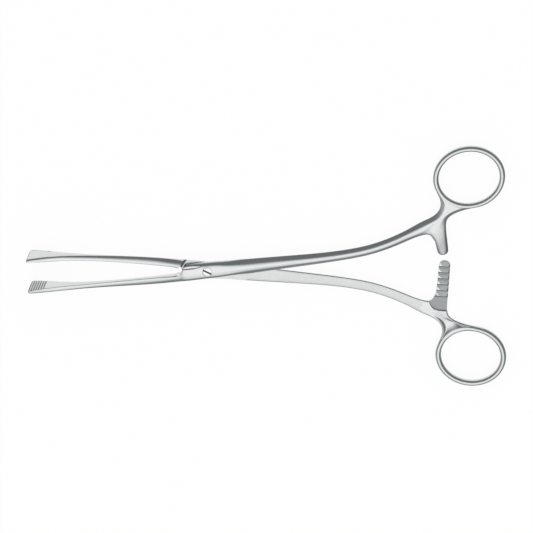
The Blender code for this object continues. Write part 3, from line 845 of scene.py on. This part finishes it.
def joint_screw():
    """Countersunk screw with a slightly domed head, its slot and its chamfered tail."""
    radius = SCREW_DIAMETER / 2
    cone = HALF_DEPTH - HEAD_RIM - HEAD_CONE_DEPTH
    rim = HEAD_DIAMETER / 2
    profile = [(radius - SCREW_CHAMFER, -HALF_DEPTH), (radius, -HALF_DEPTH + SCREW_CHAMFER), (radius, cone),
               (rim, HALF_DEPTH - HEAD_RIM)]
    profile += [(rim - inwards, HALF_DEPTH - below) for inwards, below in HEAD_DOME]
    screw = made_object("pivot_screw", lambda shape: turned(shape, profile), bright)
    half = HEAD_DIAMETER / 2 + 1.0
    wide = SLOT_WIDTH / 2
    outline = [(-half, -wide), (half, -wide), (half, wide), (-half, wide)]
    # The slot's faces take the near-black steel as painted shade
    slot = cut_by(screw, "slot", lambda shape: (
        stepped_plate(shape, outline, HALF_DEPTH - SLOT_DEPTH, HALF_DEPTH + 1.0),
        bmesh.ops.rotate(shape, cent=(0, 0, 0), matrix=Matrix.Rotation(math.radians(SLOT_ANGLE), 3, 'Z'),
                         verts=shape.verts)), painted_shade_steel)
    settled(screw, [slot])
    laid_in_place(screw, Matrix.Identity(4))
    shaded(screw)
    return screw


# Studio: what the steel sees. Heights and distances in millimetres, light as radiance
FLOOR_TOUCH_TIP = -4.35  # the instrument rests on the corners of its fans
FLOOR_TOUCH_RING = 0.55  # and on the ring of the rear arm
FLOOR_TIP_X = -79.0
FLOOR_RING_X = 118.0
FLOOR_SIZE = 3000.0
FLOOR_COLOUR = (0.96, 0.96, 0.96)
FLOOR_GLOW = 0.93  # share of plain white in the floor where the camera sees it
DOME_LIGHT = 0.97
KEY_SIZE = (520.0, 300.0)
KEY_LEAN = -14.0  # degrees from the pivot axis towards +Y
KEY_DISTANCE = 620.0
KEY_POWER = 0.10
TONE_SPAN = 0.35  # how far a finish's tone may leave its colour, as a share of it
BUMP_HEIGHT = 0.02  # height of a finish's grain
RATCHET_SHADE_ALONG = (99, 104)  # where painted shade starts to darken the satin towards the ratchet arms, along the instrument
RATCHET_SHADE_ACROSS = (3, 25)  # and where it fades out again, across it
SURROUND_RADIUS = 1400.0
SURROUND_SIDES = 64
SURROUND_TURN = 95.0  # direction of its high dark side, in degrees round the pivot axis
SURROUND_LOW = (-86.0, -50.0)  # elevation of its foot on its low and its high side
SURROUND_HIGH = (46.0, 84.0)  # and of its top
SURROUND_GROWTH = 0.6  # how soon it rises towards its high side
SURROUND_SOFT_LOW = 0.14  # shares of its height over which it fades to white
SURROUND_SOFT_HIGH = 0.27
SURROUND_DARK = 0.20  # light that it gives back on its high side
SURROUND_PALE = 0.25  # and on the other
SURROUND_WINDOW = (205.0, 0.22)  # direction of its palest part, and how much more light comes from there


class Shade:
    """A socket in a finish; Python's own sums and products on it add their Math nodes."""

    def __init__(self, finish, socket):
        self.finish = finish
        self.socket = socket

    def sum(self, operation, *others):
        return self.finish.make('ShaderNodeMath', {"operation": operation}, [self, *others])

    def __add__(self, other):
        return self.sum('ADD', other)

    def __sub__(self, other):
        return self.sum('SUBTRACT', other)

    def __mul__(self, other):
        return self.sum('MULTIPLY', other)

    def __rsub__(self, other):
        return self.finish.make('ShaderNodeMath', {"operation": 'SUBTRACT'}, [other, self])

    __radd__ = __add__
    __rmul__ = __mul__

    def between(self, low, high):
        """0 below low, 1 above high, and a smooth step from one to the other."""
        return self.finish.make('ShaderNodeMapRange', {"interpolation_type": 'SMOOTHSTEP'},
                                {"Value": self, "From Min": low, "From Max": high})


class Finish:
    """A material or world whose nodes are made one by one."""

    def __init__(self, owner):
        owner.use_nodes = True
        self.owner = owner
        self.tree = owner.node_tree
        self.tree.nodes.clear()

    def link(self, node, key, value):
        if isinstance(value, Shade):
            self.tree.links.new(value.socket, node.inputs[key])
        else:
            node.inputs[key].default_value = value

    def make(self, kind, settings=None, inputs=None, output=0):
        """Adds a node, gives it its settings and then its inputs, and returns one of its outputs."""
        node = self.tree.nodes.new(kind)
        for name, value in (settings or {}).items():
            if name == "stops":
                ramp_stops(node.color_ramp, value)
            else:
                setattr(node, name, value)
        pairs = enumerate(inputs) if isinstance(inputs, list) else (inputs or {}).items()
        for key, value in pairs:
            self.link(node, key, value)
        return Shade(self, node.outputs[output]) if node.outputs else None


def ramp_stops(ramp, stops):
    while len(ramp.elements) < len(stops):
        ramp.elements.new(0.5)
    for element, (place, colour) in zip(ramp.elements, stops):
        element.position = place
        element.color = (*colour, 1.0)


def seen_directly(finish):
    """1 for the rays that show the background itself, in the picture or in metal and glass."""
    path = finish.tree.nodes.new('ShaderNodeLightPath')
    rays = [Shade(finish, path.outputs[name])
            for name in ("Is Camera Ray", "Is Glossy Ray", "Is Transmission Ray")]
    return finish.make('ShaderNodeClamp', None, [rays[0] + rays[1] + rays[2]])


def lit_dome():
    """White round the object, at full white where it is seen."""
    world = bpy.data.worlds.new("white_dome")
    bpy.context.scene.world = world
    finish = Finish(world)
    seen = seen_directly(finish)
    strength = seen * (1.0 - DOME_LIGHT) + DOME_LIGHT
    white = finish.make('ShaderNodeBackground', None, {"Color": (1, 1, 1, 1), "Strength": strength})
    finish.make('ShaderNodeOutputWorld', None, {"Surface": white})


def plate(name, size, build_turn, place):
    """Flat rectangle of the studio, in millimetres."""
    shape = bmesh.new()
    bmesh.ops.create_grid(shape, x_segments=1, y_segments=1, size=0.5)
    bmesh.ops.scale(shape, vec=(size[0], size[1], 1), verts=shape.verts)
    bmesh.ops.rotate(shape, cent=(0, 0, 0), matrix=build_turn, verts=shape.verts)
    bmesh.ops.translate(shape, vec=place, verts=shape.verts)
    bmesh.ops.scale(shape, vec=(MM, MM, MM), verts=shape.verts)
    result = object_from(shape, name)
    return result


def floor_height(x):
    """Height of the floor under a place along the instrument, which lies on fans and ring."""
    share = (x - FLOOR_TIP_X) / (FLOOR_RING_X - FLOOR_TIP_X)
    return FLOOR_TOUCH_TIP + (FLOOR_TOUCH_RING - FLOOR_TOUCH_TIP) * share


def floor_slope():
    rise = FLOOR_TOUCH_RING - FLOOR_TOUCH_TIP
    return Matrix.Rotation(-math.atan2(rise, FLOOR_RING_X - FLOOR_TIP_X), 3, 'Y')


def white_floor():
    """White paper that keeps the instrument's shadow."""
    floor = plate("floor", (FLOOR_SIZE, FLOOR_SIZE), floor_slope(), (0, 0, floor_height(0)))
    material = bpy.data.materials.new("white_floor")
    finish = Finish(material)
    paper = finish.make('ShaderNodeBsdfDiffuse', None, {"Color": (*FLOOR_COLOUR, 1)})
    white = finish.make('ShaderNodeEmission', None, {"Color": (1, 1, 1, 1), "Strength": 1.0})
    share = seen_directly(finish) * FLOOR_GLOW
    finish.make('ShaderNodeOutputMaterial', None,
                {"Surface": finish.make('ShaderNodeMixShader', None, [share, paper, white])})
    floor.data.materials.append(material)
    floor.visible_glossy = False         # steel sees the white of the dome below it instead


def surround_edges(turn):
    """Lowest and highest elevation of the dark surround, in radians, at one angle round the instrument."""
    side = ((1 + math.cos(turn - math.radians(SURROUND_TURN))) / 2) ** SURROUND_GROWTH
    low = SURROUND_LOW[0] + (SURROUND_LOW[1] - SURROUND_LOW[0]) * side
    high = SURROUND_HIGH[0] + (SURROUND_HIGH[1] - SURROUND_HIGH[0]) * side
    return math.radians(low), math.radians(high), side


def dark_surround():
    """Dark curtain round the instrument that only the steel sees: it draws the lines along its edges."""
    shape = bmesh.new()
    row = bmesh.ops.create_circle(shape, segments=SURROUND_SIDES, radius=1.0)["verts"]
    for share in (0.0, 0.15, 0.4, 0.7, 0.85, 1.0):
        for k, vert in enumerate(row):
            turn = 2 * math.pi * k / SURROUND_SIDES
            low, high, _ = surround_edges(turn)
            rise = low + (high - low) * share
            vert.co = Vector((math.cos(turn) * math.cos(rise), math.sin(turn) * math.cos(rise),
                              math.sin(rise)))
        if share < 1.0:
            row = pulled(shape, row, [vert.co for vert in row])
    shade = shape.loops.layers.uv.new("UVMap")
    for face in shape.faces:
        for corner in face.loops:
            turn = math.atan2(corner.vert.co.y, corner.vert.co.x)
            low, high, side = surround_edges(turn)
            window = max(0.0, math.cos(turn - math.radians(SURROUND_WINDOW[0]))) ** 4
            level = SURROUND_PALE + side * (SURROUND_DARK - SURROUND_PALE) + window * SURROUND_WINDOW[1]
            corner[shade].uv = (level, (math.asin(corner.vert.co.z) - low) / (high - low))
    bmesh.ops.scale(shape, vec=(SURROUND_RADIUS * MM,) * 3, verts=shape.verts)
    curtain = object_from(shape, "dark_surround")
    material = bpy.data.materials.new("dark_surround")
    finish = Finish(material)
    place = finish.make('ShaderNodeUVMap')
    level = finish.make('ShaderNodeSeparateXYZ', None, [place])
    rise = finish.make('ShaderNodeSeparateXYZ', None, [place], 1)
    light = 1.0 - rise.between(0.0, SURROUND_SOFT_LOW) * (1.0 - rise.between(1.0 - SURROUND_SOFT_HIGH, 1.0))
    glow = finish.make('ShaderNodeEmission', None,
                       {"Color": (0.955, 1.0, 1.01, 1), "Strength": light * (1.0 - level) + level})
    finish.make('ShaderNodeOutputMaterial', None, {"Surface": glow})
    material.cycles.emission_sampling = 'NONE'
    curtain.data.materials.append(material)
    curtain.visible_camera = False
    curtain.visible_diffuse = False
    curtain.visible_transmission = False
    curtain.visible_shadow = False


def key_light():
    """Large weak softbox above the instrument."""
    data = bpy.data.lights.new("key_softbox", 'AREA')
    data.shape = 'RECTANGLE'
    data.size = KEY_SIZE[0] * MM
    data.size_y = KEY_SIZE[1] * MM
    data.energy = KEY_POWER
    lamp = bpy.data.objects.new("key_softbox", data)
    bpy.context.scene.collection.objects.link(lamp)
    lean = math.radians(KEY_LEAN)
    towards = Vector((0, math.sin(lean), math.cos(lean)))
    lamp.matrix_world = (Matrix.Translation((Vector((20, 0, 0)) + towards * KEY_DISTANCE) * MM)
                         @ towards.to_track_quat('Z', 'Y').to_matrix().to_4x4())


def grain(finish, per_mm, detail=2.0, turn=0.0):
    """Noise with so many grains a millimetre along each axis, from 0 to 1 round 0.5."""
    place = finish.make('ShaderNodeTexCoord', None, None, "Object")
    spot = finish.make('ShaderNodeMapping', {"vector_type": 'POINT'},
                       {"Vector": place, "Rotation": (0, 0, math.radians(turn)),
                        "Scale": tuple(count / MM for count in per_mm)})
    return finish.make('ShaderNodeTexNoise', None, {"Vector": spot, "Scale": 1.0, "Detail": detail,
                                                    "Roughness": 0.55})


def toned(colour, share):
    return (*(min(value * share, 1.0) for value in colour), 1)


def steel(name, colour, roughness, fine, cloud=0.05, speckle=0.05, bump=0.12, polish=0.05, ratchet_shade=0.0):
    """Steel with clouds of tone, a fine grain, the lines of its last working and a few hairline scratches;
    where asked, its colour is darkened over the ratchet arms as painted shade.
    """
    material = bpy.data.materials.new(name)
    finish = Finish(material)
    clouds = grain(finish, (0.11, 0.16, 0.16), 2.0)
    grit = grain(finish, (2.3, 2.3, 2.3), 1.0)
    lines = grain(finish, fine, 3.0, 7.0)
    scratches = grain(finish, (0.10, 3.1, 3.1), 1.0, -24.0).between(0.70, 0.78)
    tone = 0.5 + (clouds - 0.5) * (cloud / TONE_SPAN) + (grit - 0.5) * (speckle / TONE_SPAN)
    tone = tone + (lines - 0.5) * (speckle / TONE_SPAN)
    # Painted shade: the colour is darkened over the ratchet arms, by place on the instrument
    if ratchet_shade:
        place = finish.make('ShaderNodeTexCoord', None, None, "Object")
        x = finish.make('ShaderNodeSeparateXYZ', None, [place], 0)
        y = finish.make('ShaderNodeSeparateXYZ', None, [place], 1)
        outside = y.sum('ABSOLUTE').between(RATCHET_SHADE_ACROSS[0] * MM, RATCHET_SHADE_ACROSS[1] * MM)
        inside = 1.0 - outside
        tone = tone - inside * x.between(RATCHET_SHADE_ALONG[0] * MM, RATCHET_SHADE_ALONG[1] * MM) * ratchet_shade
    metal = finish.make('ShaderNodeMix', {"data_type": 'RGBA', "clamp_factor": True},
                        {0: tone, 6: toned(colour, 1 - TONE_SPAN), 7: toned(colour, 1 + TONE_SPAN)}, 2)
    gloss = roughness + (clouds - 0.5) * polish + (lines - 0.5) * polish + scratches * (polish * 1.5)
    relief = finish.make('ShaderNodeBump', None, {"Strength": bump, "Distance": BUMP_HEIGHT * MM,
                                                  "Height": lines + grit * 0.5 - scratches * 0.4})
    surface = finish.make('ShaderNodeBsdfPrincipled', None,
                          {"Base Color": metal, "Metallic": 1.0, "Roughness": gloss, "Normal": relief})
    finish.make('ShaderNodeOutputMaterial', None, {"Surface": surface})
    return material


point_camera()
lit_dome()
white_floor()
dark_surround()
key_light()
bpy.context.scene.view_settings.view_transform = 'Standard'
satin = steel("satin", (0.69, 0.70, 0.70), 0.22, (0.25, 2.6, 2.6), ratchet_shade=0.9)
ground = steel("ground", (0.65, 0.655, 0.655), 0.30, (1.4, 1.9, 1.9), 0.08, 0.12, 0.25)
# Milled steel; on the fans' edges it also paints shade lines along the outline
milled = steel("milled", (0.37, 0.38, 0.38), 0.40, (0.2, 3.4, 3.4), 0.10, 0.16, 0.5)
sawn = steel("sawn", (0.44, 0.45, 0.45), 0.36, (0.2, 3.4, 3.4), 0.10, 0.14, 0.4)
# Near-black steel that paints shade into the teeth's roots, the relief groove, the lap's end and the screw's
# slot
painted_shade_steel = steel("painted_shade_steel", (0.13, 0.135, 0.14), 0.45, (0.3, 2.4, 2.4), 0.1, 0.1, 0.4)
bright = steel("bright", (0.84, 0.85, 0.85), 0.16, (2.0, 0.4, 2.0), 0.03, 0.03, 0.06)
half_opening = math.radians(REST_OPENING / 2)
flip = Matrix.Rotation(math.pi, 4, 'X')
front = forged_arm("front_arm_forging", -RATCHET_PAST_FRONT, TEETH_FRONT, 0.0,
                   SCREW_DIAMETER / 2 + SCREW_PLAY, True, Matrix.Rotation(half_opening, 4, 'Z'))
rear = forged_arm("rear_arm_forging", -RATCHET_PAST_REAR, TEETH_REAR, 0.5,
                  SCREW_DIAMETER / 2 + THREAD_GAP, False, Matrix.Rotation(-half_opening, 4, 'Z') @ flip)
screw = joint_screw()
for piece, node, body, slot in ((front, "front_arm", "front_arm", "satin_steel"),
                                (rear, "rear_arm", "rear_arm", "satin_steel"),
                                (screw, "joint_screw", "rear_arm", "bright_steel")):
    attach(piece, body)
    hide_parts(node)
